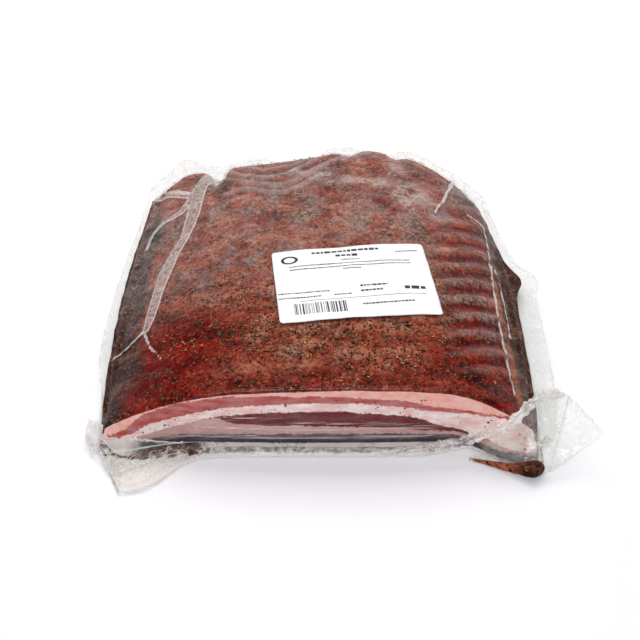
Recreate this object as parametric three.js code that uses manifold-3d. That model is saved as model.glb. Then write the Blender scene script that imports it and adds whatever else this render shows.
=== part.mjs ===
// A vacuum pack of smoked pork belly: a half slab, crusted with pepper and herbs, in a clear pouch
// that is drawn tight over it, with a paper label stuck on top. Millimetres, +Z up.
//
// The shapes are worked out in a layout whose origin lies on the table, under the middle of the cut
// front face: X runs to the right, Y to the back. The last lines move the pack so that its origin is
// the middle of its footprint.

import * as THREE from "three";
import { mergeVertices } from "three/addons/utils/BufferGeometryUtils.js";
import Module from "manifold-3d";

// The slab inside the pouch.
const SLAB_THICKNESS = 37.6;
const SLAB_LEFT = -116;
const SLAB_RIGHT = 117.5;
const SLAB_BACK = 237;
const SLAB_MIDDLE_Y = 105;
const CREST_LEFT = 8; // between these two the top is level from side to side
const CREST_RIGHT = 32;
const CROWN_FALL = 2.6;
const CROWN_SHOULDER = 0.8;
const SIDE_KNOB = { y: 117, reach: 6, spread: 12 };
const TOP_INSET = 2.5; // the top edge stands in from the seam by this much
const EDGE_DROP = 1.2; // and is rounded over by this much

// The back edge reaches furthest at one x. To the left it steps in, and has a lobe before the corner
// falls away. To the right it falls away further.
const BACK_BOW = { x: 34, left: 70, leftDepth: 15, right: 72, rightDepth: 41 };
const BACK_LEFT_CORNER = { x: -89, wide: 22, depth: 17 };
const BACK_LOBE = { x: -89, wide: 14, reach: 6 };
const BACK_FALL = { long: 42, share: 0.3 };
const ROUNDING = 0.2; // how round the corners of the outline are
const BACK_RIGHT_ROUNDING = 0.36;
const FRONT_FACE_ROUNDING = 0.1;

// Both ends of the front face lean forward, the lower edge further than the top one.
const FRONT_LEFT = { from: -62, wide: 50, top: 1, low: 7 };
const FRONT_RIGHT = { from: 66, wide: 44, top: 6, low: 13 };

// Rib marks across the top, which run back as they go to the right, and the hollows along the back edge.
const RIB_SPACING = 14.3;
const RIB_CREST = { x: 85, y: 105 };
const RIB_SLANT = 0.42;
const RIB_HEIGHT = 1.1;
const RIB_HEIGHT_LEFT = 0.1;
const RIB_START_X = 58;
const RIB_FULL_X = 82;
const BACK_HOLLOWS = [
  { x: -64, y: 212, wide: 7, long: 18, depth: 12 },
  { x: 22, y: 235, wide: 7, long: 14, depth: 4 },
  { x: 53, y: 228, wide: 7, long: 14, depth: 4 },
];

// The pouch: clearance over the slab, and the sealed margin that runs round it.
const FILM_CLEARANCE = 0.8;
const MARGIN_THICKNESS = 1.4; // two films and the air left between them
const SEAM_LEFT = 8; // height of the seam along the left side
const SEAM_RIGHT = 12;
const SEAM_BACK_RISE = 6;
const FRONT_MARGIN = 9;
const BACK_MARGIN = 18;
const LEFT_MARGIN = 6;
const RIGHT_MARGIN = 10;
const RIGHT_NARROWING = { from: 105, wide: 25, by: 7 }; // the right margin is narrow behind the knob
const BACK_WAVE = 4;
const RIGHT_TUCK = { from: 50, wide: 30, share: 0.85 }; // the margin is tucked in at the right front
const FRONT_LEFT_TIP = new THREE.Vector3(-99, -29, 0);
const TIP_SPREAD = 0.16; // as a share of one side of the pouch

// The twisted front edge of the pouch, from the table up over the right front corner.
const TWIST_PATH = [
  [22, -9.5, 1.6],
  [42, -9.5, 3],
  [62, -8.6, 6],
  [80, -9.2, 13],
  [93, -9.4, 20.6],
  [103, -1, 23.4],
  [113, 8.6, 23.6],
  [124, 11.6, 21.6],
];
const TWIST_RADIUS = 2.1;

// The loose wing of film at the right front corner: [x, y, z] across its top edge and its bottom edge.
const WING_TOP = [
  [97, -5, 22],
  [112, 9, 25],
  [126, 11, 22],
  [135, 1, 19],
  [142, -8, 15],
];
const WING_FOOT = [
  [90, -17, 1],
  [102, -21, 1],
  [112, -24, 2],
  [126, -18, 8],
  [139, -11, 12],
];
const WING_THICKNESS = 1.5;
const WING_ROWS = 5;

// Pleats pressed flat on the film, in plan. wide is half the width, at the end that comes first.
const PLEATS = [
  { wide: 4.4, tall: 1.9, plan: [[-70, 187], [-75, 154], [-82, 121], [-87, 107], [-91, 84]] },
  { wide: 3, tall: 1.6, plan: [[-76, 173], [-83, 158], [-91, 150], [-98, 144], [-101, 134]] },
  { wide: 2.6, tall: 1.5, plan: [[-73, 179], [-86, 182], [-98, 185]] },
];
const PLEAT_ROOT = 5; // how deep the underside of a pleat is sunk
const PLEAT_EDGE = 0.9; // how deep its two long edges are

// The paper label.
const LABEL_WIDTH = 87;
const LABEL_DEPTH = 61;
const LABEL_THICKNESS = 0.5;
const LABEL_GAP = 0.6;
const LABEL_MIDDLE = new THREE.Vector2(21, 81);
const LABEL_TURN = THREE.MathUtils.degToRad(6.5);

// How finely the pouch is faceted.
const AROUND = 120;
const TOP_RINGS = 14;
const WALL_RINGS = 3;

const clamp01 = (value) => THREE.MathUtils.clamp(value, 0, 1);
const ease = (value) => THREE.MathUtils.smoothstep(value, 0, 1);
const bump = (distance, spread) => Math.exp(-((distance / spread) ** 2));

// Share of the full thickness, from the level crest down to the thin left and right edges.
function crown(x) {
  let share = 0;
  if (x < CREST_LEFT) share = (CREST_LEFT - x) / (CREST_LEFT - SLAB_LEFT);
  if (x > CREST_RIGHT) share = (x - CREST_RIGHT) / (SLAB_RIGHT + 2 - CREST_RIGHT);
  return (1 - clamp01(share) ** CROWN_FALL) ** CROWN_SHOULDER;
}

function backEdge(x) {
  if (x > BACK_BOW.x) {
    return SLAB_BACK - BACK_BOW.rightDepth * ((x - BACK_BOW.x) / BACK_BOW.right) ** 1.9;
  }
  const step = BACK_BOW.leftDepth * ease((BACK_BOW.x - x) / BACK_BOW.left);
  const corner = BACK_LEFT_CORNER.depth * ease((BACK_LEFT_CORNER.x - x) / BACK_LEFT_CORNER.wide);
  return SLAB_BACK - step - corner + BACK_LOBE.reach * bump(x - BACK_LOBE.x, BACK_LOBE.wide);
}

// The cut front face leans forward at both lower corners, where the rind reaches furthest.
function frontEdge(x, low) {
  const left = ease((FRONT_LEFT.from - x) / FRONT_LEFT.wide);
  const right = ease((x - FRONT_RIGHT.from) / FRONT_RIGHT.wide);
  const leftReach = left * (FRONT_LEFT.top + FRONT_LEFT.low * low);
  const rightReach = right * (FRONT_RIGHT.top + FRONT_RIGHT.low * low);
  return -(1 + 2 * low) - leftReach - rightReach;
}

function ribs(x, y) {
  const toRight = ease((x - RIB_START_X) / (RIB_FULL_X - RIB_START_X));
  const height = THREE.MathUtils.lerp(RIB_HEIGHT_LEFT, RIB_HEIGHT, toRight);
  const across = y - RIB_CREST.y - RIB_SLANT * (x - RIB_CREST.x);
  const wave = Math.cos((2 * Math.PI * across) / RIB_SPACING);
  return height * wave * ease((y - 4) / 20) * ease((195 - y) / 25) * crown(x);
}

function backHollows(x, y) {
  return BACK_HOLLOWS.reduce(
    (sum, h) => sum + h.depth * bump(x - h.x, h.wide) * bump(y - h.y, h.long),
    0,
  );
}

// Height of the pouch's upper film over the table.
function topHeight(x, y) {
  const fall = clamp01((y - (backEdge(x) - BACK_FALL.long)) / BACK_FALL.long);
  const body = SLAB_THICKNESS * crown(x) * (1 - BACK_FALL.share * fall * fall);
  return Math.max(seamHeight(x, y) + 1, body + ribs(x, y) - backHollows(x, y) + FILM_CLEARANCE);
}

// Where the two films meet: down on the table in front, part of the way up the sides and the back.
function seamHeight(x, y) {
  const fromFront = ease((y + 4) / 30);
  const side = THREE.MathUtils.lerp(SEAM_LEFT, SEAM_RIGHT, ease(x / 100));
  const behind = SEAM_BACK_RISE * ease((y - 170) / 50);
  return MARGIN_THICKNESS + fromFront * (side - MARGIN_THICKNESS + behind);
}

// A step of the way round a square from -1 to 1, starting at its front left corner.
function squarePoint(step) {
  const side = Math.floor((4 * step) / AROUND) % 4;
  const along = 2 * (((4 * step) / AROUND) % 1) - 1;
  return [
    [along, -1],
    [1, along],
    [-along, 1],
    [-1, -along],
  ][side];
}

// The plan outline of the slab in its pouch. low is 0 at the top edge and 1 at the seam.
function outline(u, v, low) {
  const round = v < 0 || u < 0 ? ROUNDING : BACK_RIGHT_ROUNDING;
  const acrossU = u * Math.sqrt(1 - (round * v * v) / 2);
  const acrossV = v * Math.sqrt(1 - ((v < 0 ? FRONT_FACE_ROUNDING : round) * u * u) / 2);
  const inset = TOP_INSET * (1 - low);
  const half = (SLAB_RIGHT - SLAB_LEFT) / 2 - inset;
  let x = (SLAB_RIGHT + SLAB_LEFT) / 2 + acrossU * half;
  const front = frontEdge(x, low);
  const back = backEdge(x) - 3 * (1 - low);
  const y = acrossV < 0
    ? THREE.MathUtils.lerp(SLAB_MIDDLE_Y, front, -acrossV)
    : THREE.MathUtils.lerp(SLAB_MIDDLE_Y, back, acrossV);
  if (u > 0) x += low * SIDE_KNOB.reach * bump(y - SIDE_KNOB.y, SIDE_KNOB.spread) * u ** 8;
  return [x, y];
}

// The outer edge of the sealed margin.
function rim(u, v) {
  const [x, y] = outline(u, v, 1);
  const narrowing = RIGHT_NARROWING.by * ease((y - RIGHT_NARROWING.from) / RIGHT_NARROWING.wide);
  const sideways = u < 0 ? LEFT_MARGIN - 5 * ease(y / 190) : RIGHT_MARGIN - narrowing;
  const lengthways = v < 0 ? FRONT_MARGIN : BACK_MARGIN;
  const tucked = 1 - RIGHT_TUCK.share * ease((x - RIGHT_TUCK.from) / RIGHT_TUCK.wide) * ease((4 - y) / 10);
  const rounded = v < 0 ? tucked : 1 - 0.45 * (u * v) ** 8;
  const point = new THREE.Vector3(
    x + sideways * rounded * u ** 7,
    y + lengthways * rounded * v ** 7,
    0,
  );
  const wave = BACK_WAVE * Math.sin(x / 9) * ease((y - 205) / 30);
  point.z = seamHeight(point.x, point.y) + wave;
  const fromTip = Math.hypot(u + 1, v + 1) / 2;
  const pull = bump(fromTip, TIP_SPREAD);
  const corner = new THREE.Vector3(SLAB_LEFT - LEFT_MARGIN, -FRONT_MARGIN, 0);
  point.addScaledVector(FRONT_LEFT_TIP.clone().sub(corner), pull);
  point.z = Math.max(point.z * (1 - pull), MARGIN_THICKNESS);
  return point;
}

// The rings of the pouch, each a function of a point (u, v) on the square: from the middle of the
// base, out along the underside, round the margin, up the wall, and in over the top.
function pouchRings() {
  const rings = [() => new THREE.Vector3(0, SLAB_MIDDLE_Y, 0)];
  const foot = (u, v) => {
    const [x, y] = outline(u, v, 1);
    const keep = v < 0 ? 0.995 : 0.96;
    return new THREE.Vector3(x * 0.97, SLAB_MIDDLE_Y + (y - SLAB_MIDDLE_Y) * keep, 0);
  };
  const seam = (u, v) => {
    const [x, y] = outline(u, v, 1);
    return new THREE.Vector3(x, y, seamHeight(x, y));
  };
  const under = (point) => point.setZ(Math.max(0, point.z - MARGIN_THICKNESS));
  rings.push(foot);
  rings.push((u, v) => under(seam(u, v)));
  rings.push((u, v) => under(rim(u, v)));
  rings.push((u, v) => rim(u, v));
  rings.push((u, v) => seam(u, v).lerp(rim(u, v), 0.45));
  rings.push((u, v) => seam(u, v));
  for (let ring = 1; ring < WALL_RINGS; ring += 1) {
    const up = ring / WALL_RINGS;
    rings.push((u, v) => {
      const [x, y] = outline(u, v, 1 - up);
      const edge = topHeight(...outline(u, v, 0)) - EDGE_DROP;
      return new THREE.Vector3(x, y, THREE.MathUtils.lerp(seamHeight(x, y), edge, up));
    });
  }
  rings.push((u, v) => {
    const [x, y] = outline(u, v, 0);
    return new THREE.Vector3(x, y, topHeight(x, y) - EDGE_DROP);
  });
  for (let ring = 0; ring < TOP_RINGS; ring += 1) {
    const inward = ring === 0 ? 0.985 : 1 - ring / TOP_RINGS;
    rings.push((u, v) => {
      const [edgeX, edgeY] = outline(u, v, 0);
      const x = edgeX * inward;
      const y = SLAB_MIDDLE_Y + (edgeY - SLAB_MIDDLE_Y) * inward;
      return new THREE.Vector3(x, y, topHeight(x, y));
    });
  }
  rings.push(() => new THREE.Vector3(0, SLAB_MIDDLE_Y, topHeight(0, SLAB_MIDDLE_Y)));
  return rings;
}

// A lathe's lattice, closed at both poles, whose vertices are then moved on to the rings.
function pouchBody() {
  const rings = pouchRings();
  const last = rings.length - 1;
  const profile = rings.map((_, ring) => {
    const angle = Math.PI * (ring / last - 0.5);
    const onAxis = ring === 0 || ring === last;
    return new THREE.Vector2(onAxis ? 0 : Math.cos(angle), Math.sin(angle));
  });
  const geometry = new THREE.LatheGeometry(profile, AROUND);
  const position = geometry.getAttribute("position");
  for (let index = 0; index < position.count; index += 1) {
    const step = Math.floor(index / rings.length) % AROUND;
    const [u, v] = squarePoint(step);
    const point = rings[index % rings.length](u, v);
    position.setXYZ(index, point.x, point.y, point.z);
  }
  return geometry;
}

// A pleat: a low rounded ridge that runs along the film and has its underside sunk in it.
function pleat({ plan, wide, tall }) {
  const path = new THREE.CatmullRomCurve3(plan.map(([x, y]) => new THREE.Vector3(x, y, 0)));
  const geometry = new THREE.BoxGeometry(1, 1, 1, 2 * plan.length, 4, 1);
  const position = geometry.getAttribute("position");
  for (let index = 0; index < position.count; index += 1) {
    const along = position.getX(index) + 0.5;
    const across = 2 * position.getY(index);
    const { x, y } = path.getPoint(along);
    const tangent = path.getTangent(along);
    const taper = 1 - 0.5 * along;
    const offset = across * wide * taper;
    const atX = x - tangent.y * offset;
    const atY = y + tangent.x * offset;
    const ridge = (tall * taper + PLEAT_EDGE) * (1 - across * across) - PLEAT_EDGE;
    const lift = position.getZ(index) > 0 ? ridge : -PLEAT_ROOT;
    position.setXYZ(index, atX, atY, topHeight(atX, atY) + lift);
  }
  return geometry;
}

function twistedEdge() {
  const section = new THREE.Shape();
  section.absellipse(0, 0, TWIST_RADIUS, TWIST_RADIUS * 0.8, 0, 2 * Math.PI, false, 0);
  const points = TWIST_PATH.map(([x, y, z]) => new THREE.Vector3(x, y, z + TWIST_RADIUS * 0.4));
  return new THREE.ExtrudeGeometry(section, {
    steps: 22,
    curveSegments: 4,
    bevelEnabled: false,
    extrudePath: new THREE.CatmullRomCurve3(points),
  });
}

// A thin curved sheet between two edges, given its thickness along Y.
function wing() {
  const top = new THREE.CatmullRomCurve3(WING_TOP.map((p) => new THREE.Vector3(...p)));
  const foot = new THREE.CatmullRomCurve3(WING_FOOT.map((p) => new THREE.Vector3(...p)));
  const geometry = new THREE.BoxGeometry(1, 1, 1, 14, 1, WING_ROWS);
  const position = geometry.getAttribute("position");
  for (let index = 0; index < position.count; index += 1) {
    const along = position.getX(index) + 0.5;
    const up = position.getZ(index) + 0.5;
    const point = foot.getPoint(along).lerp(top.getPoint(along), up);
    point.y += position.getY(index) * WING_THICKNESS;
    point.y += 1.2 * Math.sin(3 * Math.PI * along) * Math.sin(Math.PI * up);
    position.setXYZ(index, point.x, point.y, point.z);
  }
  return geometry;
}

// The label follows the film that it is stuck to.
function labelSheet() {
  const geometry = new THREE.BoxGeometry(LABEL_WIDTH, LABEL_DEPTH, LABEL_THICKNESS, 14, 10, 1);
  geometry.rotateZ(LABEL_TURN);
  geometry.translate(LABEL_MIDDLE.x, LABEL_MIDDLE.y, 0);
  const position = geometry.getAttribute("position");
  for (let index = 0; index < position.count; index += 1) {
    const x = position.getX(index);
    const y = position.getY(index);
    const lift = LABEL_GAP + LABEL_THICKNESS / 2;
    position.setZ(index, topHeight(x, y) + lift + position.getZ(index));
  }
  return geometry;
}

const wasm = await Module();
wasm.setup();

function toSolid(geometry) {
  const bare = geometry.index ? geometry.toNonIndexed() : geometry.clone();
  bare.deleteAttribute("normal");
  bare.deleteAttribute("uv");
  const merged = mergeVertices(bare, 1e-3);
  return new wasm.Manifold(new wasm.Mesh({
    numProp: 3,
    vertProperties: new Float32Array(merged.getAttribute("position").array),
    triVerts: new Uint32Array(merged.index.array),
  }));
}

function toGeometry(solid) {
  const mesh = solid.getMesh();
  const geometry = new THREE.BufferGeometry();
  geometry.setAttribute("position", new THREE.BufferAttribute(mesh.vertProperties, 3));
  geometry.setIndex(new THREE.BufferAttribute(mesh.triVerts, 1));
  geometry.computeVertexNormals();
  return geometry;
}

function pouchGeometry() {
  const parts = [wing(), twistedEdge(), ...PLEATS.map(pleat)];
  const joined = parts.reduce((solid, part) => solid.add(toSolid(part)), toSolid(pouchBody()));
  return toGeometry(joined);
}

const clearFilm = new THREE.MeshStandardMaterial({ color: 0x9a5a4a, roughness: 0.25, metalness: 0 });
const labelPaper = new THREE.MeshStandardMaterial({ color: 0xf6f5f2, roughness: 0.6, metalness: 0 });

const pouch = new THREE.Mesh(pouchGeometry(), clearFilm);
pouch.name = "vacuum_bag";

const label = new THREE.Mesh(labelSheet(), labelPaper);
label.name = "label";

const pack = new THREE.Group();
pack.add(pouch, label);
const footprint = new THREE.Box3().setFromObject(pack);
pack.position.x = -(footprint.min.x + footprint.max.x) / 2;
pack.position.y = -(footprint.min.y + footprint.max.y) / 2;
pack.position.z = -footprint.min.z;

export default pack;
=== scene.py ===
"""A vacuum pack of smoked pork belly: the slab, its pepper crust, the clear pouch and the paper label.

Shapes are worked out in millimetres in the pack's own layout: X to the right and Y to the back, from
the middle of the cut front face at table height. The label shows where the layout lies in the frame.
"""

import math
import random
from functools import partial

import bmesh
import bpy
from mathutils import Euler, Matrix, Vector, noise


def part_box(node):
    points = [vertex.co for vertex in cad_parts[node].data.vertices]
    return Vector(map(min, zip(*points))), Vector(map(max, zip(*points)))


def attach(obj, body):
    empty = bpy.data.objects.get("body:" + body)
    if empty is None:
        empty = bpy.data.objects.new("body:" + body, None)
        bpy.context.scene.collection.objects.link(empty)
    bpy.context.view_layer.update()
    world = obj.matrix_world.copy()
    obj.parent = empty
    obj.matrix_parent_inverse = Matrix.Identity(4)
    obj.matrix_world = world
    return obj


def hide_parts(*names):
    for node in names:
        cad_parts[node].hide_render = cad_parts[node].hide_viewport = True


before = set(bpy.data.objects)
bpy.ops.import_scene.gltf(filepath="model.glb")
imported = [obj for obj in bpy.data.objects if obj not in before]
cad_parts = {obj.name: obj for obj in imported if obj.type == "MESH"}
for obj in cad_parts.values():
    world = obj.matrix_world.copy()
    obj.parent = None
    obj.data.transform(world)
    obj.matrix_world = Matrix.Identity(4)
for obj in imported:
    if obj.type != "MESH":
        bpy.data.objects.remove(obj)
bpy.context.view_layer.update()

LABEL_MIDDLE = (21, 81)
label_low, label_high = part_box("label")
LAYOUT_ORIGIN = Vector((
    (label_low.x + label_high.x) / 2 - LABEL_MIDDLE[0] / 1000,
    (label_low.y + label_high.y) / 2 - LABEL_MIDDLE[1] / 1000,
    0,
))
TO_FRAME = Matrix.Translation(LAYOUT_ORIGIN) @ Matrix.Scale(0.001, 4)

# The slab, in millimetres. Between the two crests its top is level from side to side.
SLAB_THICKNESS = 37.6
SLAB_LEFT, SLAB_RIGHT, SLAB_BACK = -116, 117.5, 237
SLAB_MIDDLE_Y = 105
CREST_LEFT, CREST_RIGHT = 8, 32
KNOB_Y, KNOB_REACH, KNOB_SPREAD = 117, 6, 12
# The ribs run back as they go to the right.
RIB_SPACING, RIB_CREST_X, RIB_CREST_Y, RIB_SLANT, RIB_HEIGHT = 14.3, 85, 105, 0.42, 1.1
# Hollows of the back edge: x, y, reach across, reach along, depth.
BACK_HOLLOWS = ((-66, 214, 5, 17, 14), (22, 235, 6, 14, 4), (53, 228, 6, 14, 4))

# The pouch.
FILM_CLEARANCE = 0.8
MARGIN_THICKNESS = 1.4
FRONT_MARGIN, BACK_MARGIN, LEFT_MARGIN, RIGHT_MARGIN = 9, 18, 6, 10
FRONT_LEFT_TIP = Vector((-101.5, -26.5, 0))
TIP_SPREAD = 0.16

# Flat pleats on top of the film: x, y and half the width.
PLEATS = (
    ((-69, 214, 3.0), (-75, 188, 4.4), (-75.5, 177.5, 4.0), (-76.8, 157.5, 4.0), (-79, 139, 2.8),
     (-84.5, 123.4, 3.2), (-88.4, 108, 3.9), (-90.4, 91.3, 2.8), (-91, 81.5, 2.9), (-92, 70.5, 2.6),
     (-93.4, 61, 1.6)),
    ((-76.5, 187, 3.0), (-81, 175, 2.8), (-85, 167, 2.4), (-91.4, 164.8, 1.8), (-97.7, 163, 1.4),
     (-103.4, 156, 1.0), (-105, 143, 0.7)),
    ((-107.4, 195.7, 1.5), (-98, 195.7, 1.7), (-84.7, 184, 1.4), (-74, 178, 1.2)),
)
# Thin creases, where the film is folded on itself or drawn up into a line.
CREASES = (
    ((-93.8, 61, 0.7), (-97, 59, 0.5), (-102.6, 53.4, 0.5), (-110.5, 49.5, 0.5)),
    ((-94.3, 60.6, 0.6), (-88.6, 45.6, 0.5), (-80, 32, 0.3)),
    ((-103, 204, 0.8), (-91.4, 194.7, 1.0), (-77.8, 182, 0.8)),
    ((72, 151, 0.4), (81, 172, 0.7), (92, 208, 0.9)),
    ((93, 161, 0.3), (99.5, 160, 0.4), (104, 155, 0.4), (104, 140, 0.4), (102.8, 122, 0.5),
     (102, 106, 0.4), (101, 86, 0.6), (100, 68, 0.4), (100.2, 49, 0.6), (100, 34, 0.5), (100, 19, 0.4),
     (100.4, 8, 0.3)),
    ((102.3, 119, 0.2), (105.8, 113, 0.4), (106.3, 99, 0.4), (106.8, 87, 0.4), (106.5, 70, 0.4),
     (105.4, 56, 0.3)),
)
# Wrinkles that fan out from the notch to the back edge, in the same way.
WRINKLES = (
    ((-59, 214, 0.8), (-48, 205, 1.0), (-35, 197, 1.0), (-24, 199, 1.0), (-14, 201, 0.9), (-7, 207, 0.8)),
    ((-60, 204, 0.9), (-49, 192, 1.1), (-38, 187, 1.2), (-28, 186, 1.2), (-19, 188, 1.2), (-12, 195, 1.2),
     (-4, 203, 1.2), (3, 213, 1.1), (11, 226, 1.0)),
    ((-58, 190, 0.9), (-46, 183, 1.0), (-34, 179, 1.2), (-25, 176, 1.2), (-15, 179, 1.2), (-7, 186, 1.2),
     (2, 195, 1.3), (11, 205, 1.2), (20, 212, 1.0)),
    ((-57, 172, 0.8), (-50, 175, 1.2), (-41, 174, 1.2), (-31, 170, 1.0), (-20, 168, 0.9), (-11, 174, 0.9),
     (-4, 180, 0.8), (3, 186, 0.6)),
)
# Milky streaks in the film, as x, y and half the width.
HAZES = (
    ((45, 172, 3), (63, 152, 4), (74, 140, 3)),
    ((47, 205, 4), (52, 184, 4), (60, 168, 4), (80, 150, 3)),
    ((22, 226, 4), (23, 206, 4)),
    ((-14, 190, 2), (8, 182, 2), (40, 176, 3)),
)

# The twisted edge of the film and the loose wing and corner that it ends in.
TWIST_PATH = (
    (22, -9.5, 1.6), (42, -9.5, 3), (62, -8.6, 6), (80, -9.2, 13), (93, -9.4, 20.6), (103, -1, 23.4),
    (113, 8.6, 23.6), (124, 11.6, 21.6),
)
TWIST_RADIUS = 2.5
WING_TOP = ((97, -5, 22), (112, 9, 25), (126, 11, 22), (135, 1, 19), (142, -8, 15))
WING_FOOT = ((76, -14, 0.8), (95, -18, 0.9), (112, -24, 2.5), (127, -17.5, 8), (140, -10, 13))
CORNER_TOP = ((-117, 9, 6), (-111, 4, 8.5), (-104, 0, 9), (-94, -5.5, 9.5), (-84, -7.5, 9), (-66, -7.5, 7))
CORNER_FOOT = (
    (-116, -4, 2.4), (-111, -9, 2.2), (-105, -18, 2), (-99, -23.5, 1.6), (-83, -17.5, 1.6), (-63, -12.5, 1.6),
)


def clamp01(value):
    return max(0.0, min(1.0, value))


def ease(value):
    value = clamp01(value)
    return value * value * (3 - 2 * value)


def lerp(start, end, share):
    return start + (end - start) * share


def bump(distance, spread):
    return math.exp(-((distance / spread) ** 2))


def noise_at(x, y, z):
    """Smooth noise of about -1 to 1."""
    return noise.noise(Vector((x, y, z)))


def crown(x):
    """Share of the full thickness, down to the thin left and right edges."""
    share = 0
    if x < CREST_LEFT:
        share = (CREST_LEFT - x) / (CREST_LEFT - SLAB_LEFT)
    if x > CREST_RIGHT:
        share = (x - CREST_RIGHT) / (SLAB_RIGHT + 2 - CREST_RIGHT)
    return (1 - clamp01(share) ** 2.6) ** 0.8


def back_edge(x):
    """Where the slab ends at the back."""
    if x > 34:
        return SLAB_BACK - 41 * ((x - 34) / 72) ** 1.9
    left = 15 * ease((34 - x) / 70) + 17 * ease((-89 - x) / 22)
    return SLAB_BACK - left + 6 * bump(x + 89, 14)


def front_edge(x, low):
    """Where the slab ends at the front. low is 0 on top, 1 at the foot."""
    left = ease((-62 - x) / 50) * (1 + 7 * low)
    right = ease((x - 66) / 44) * (6 + 13 * low)
    return -(1 + 2 * low) - left - right


def rib_wave(x, y):
    """1 on the crest of a rib, -1 in the valley beside it."""
    across = y - RIB_CREST_Y - RIB_SLANT * (x - RIB_CREST_X)
    return math.cos(2 * math.pi * across / RIB_SPACING)


def ribs(x, y):
    """Height of the ribs on the right."""
    height = lerp(0.1, RIB_HEIGHT, ease((x - 58) / 24))
    return height * rib_wave(x, y) * ease((y - 4) / 20) * ease((195 - y) / 25) * crown(x)


def back_hollows(x, y):
    """Depth of the hollows of the back edge."""
    return sum(
        depth * bump(x - at_x, wide) * bump(y - at_y, long) for at_x, at_y, wide, long, depth in BACK_HOLLOWS
    )


def seam_height(x, y):
    """Height at which the sealed margin starts."""
    side = lerp(8, 12, ease(x / 100))
    return MARGIN_THICKNESS + ease((y + 4) / 30) * (side - MARGIN_THICKNESS + 6 * ease((y - 170) / 50))


def swell(x, y):
    """Soft unevenness of the meat, which the film follows."""
    place = Vector((x, y, 0))
    return 0.8 * noise.noise(place / 34) + 0.45 * noise.noise(place / 13 + Vector((7, 3, 1)))


def body_height(x, y):
    """Height of the meat's top over the table."""
    fall = clamp01((y - (back_edge(x) - 42)) / 42)
    body = SLAB_THICKNESS * crown(x) * (1 - 0.3 * fall * fall)
    return max(seam_height(x, y) + 1, body + ribs(x, y) - back_hollows(x, y)) + swell(x, y) * crown(x)


def outline(u, v, low):
    """Plan outline of the pouch over the slab, from a point on a square. low is 0 on top, 1 at the seam."""
    rounding = 0.2 if v < 0 or u < 0 else 0.36
    across_u = u * math.sqrt(1 - rounding * v * v / 2)
    across_v = v * math.sqrt(1 - (0.1 if v < 0 else rounding) * u * u / 2)
    half = (SLAB_RIGHT - SLAB_LEFT) / 2 - 2.5 * (1 - low)
    x = (SLAB_RIGHT + SLAB_LEFT) / 2 + across_u * half
    end = front_edge(x, low) if across_v < 0 else back_edge(x) - 3 * (1 - low)
    y = lerp(SLAB_MIDDLE_Y, end, abs(across_v))
    if u > 0:
        x += low * KNOB_REACH * bump(y - KNOB_Y, KNOB_SPREAD) * u ** 8
    return x, y


def path_reach(x, y, path):
    """How far a point lies inside a path's width: above 0 on the path, below 0 beside it."""
    reach = -99
    for (x0, y0, half0), (x1, y1, half1) in zip(path, path[1:]):
        run_x, run_y = x1 - x0, y1 - y0
        share = clamp01(((x - x0) * run_x + (y - y0) * run_y) / (run_x * run_x + run_y * run_y))
        distance = math.hypot(x - x0 - share * run_x, y - y0 - share * run_y)
        reach = max(reach, lerp(half0, half1, share) - distance)
    return reach


def wrinkle_crest(x, y):
    """1 on the crest of a wrinkle, falling to 0 between two of them, and how far the place is wrinkled."""
    if not (-68 < x < 28 and 160 < y < 236):
        return 0, 0
    reach = max(path_reach(x, y, path) for path in WRINKLES)
    return bump(min(reach - 0.8, 0), 1.7), ease(reach / 6 + 1)


def pillow(cells, rows):
    """A square grid with rows hung from its edge: x and y run from -1 to 1, and z is minus the row."""
    shape = bmesh.new()
    bmesh.ops.create_grid(shape, x_segments=cells, y_segments=cells, size=1)
    for _ in range(rows):
        rim = [edge for edge in shape.edges if edge.is_boundary]
        made = bmesh.ops.extrude_edge_only(shape, edges=rim)
        lower = [item for item in made["geom"] if isinstance(item, bmesh.types.BMVert)]
        bmesh.ops.translate(shape, verts=lower, vec=(0, 0, -1))
    rim = [edge for edge in shape.edges if edge.is_boundary]
    bmesh.ops.contextual_create(shape, geom=rim)
    return shape


def bar(around, cuts):
    """A round bar of radius 1 that runs along Z from -0.5 to 0.5, cut into short lengths."""
    shape = bmesh.new()
    bmesh.ops.create_cone(shape, cap_ends=True, segments=around, radius1=1, radius2=1, depth=1)
    sides = [edge for edge in shape.edges if abs(edge.verts[0].co.z - edge.verts[1].co.z) > 0.5]
    bmesh.ops.subdivide_edges(shape, edges=sides, cuts=cuts)
    return shape


def add_layers(shape, *names):
    """New numbers on each vertex, which the materials read by these names."""
    return [shape.verts.layers.float.new(name) for name in names]


def add_piece(name, shape, material, stands_for=None):
    """Turns a layout bmesh into a piece in the frame."""
    bmesh.ops.recalc_face_normals(shape, faces=shape.faces)
    bmesh.ops.transform(shape, matrix=TO_FRAME, verts=shape.verts)
    mesh = bpy.data.meshes.new(name)
    shape.to_mesh(mesh)
    shape.free()
    for polygon in mesh.polygons:
        polygon.use_smooth = True
    mesh.materials.append(material)
    piece = bpy.data.objects.new(name, mesh)
    bpy.context.collection.objects.link(piece)
    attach(piece, "root")
    if stands_for:
        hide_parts(stands_for)
    return piece


def colour(code):
    """An sRGB hex colour as linear RGBA."""
    parts = [int(code[start:start + 2], 16) / 255 for start in (1, 3, 5)]
    linear = [part / 12.92 if part <= 0.04045 else ((part + 0.055) / 1.055) ** 2.4 for part in parts]
    return (*linear, 1)


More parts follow.
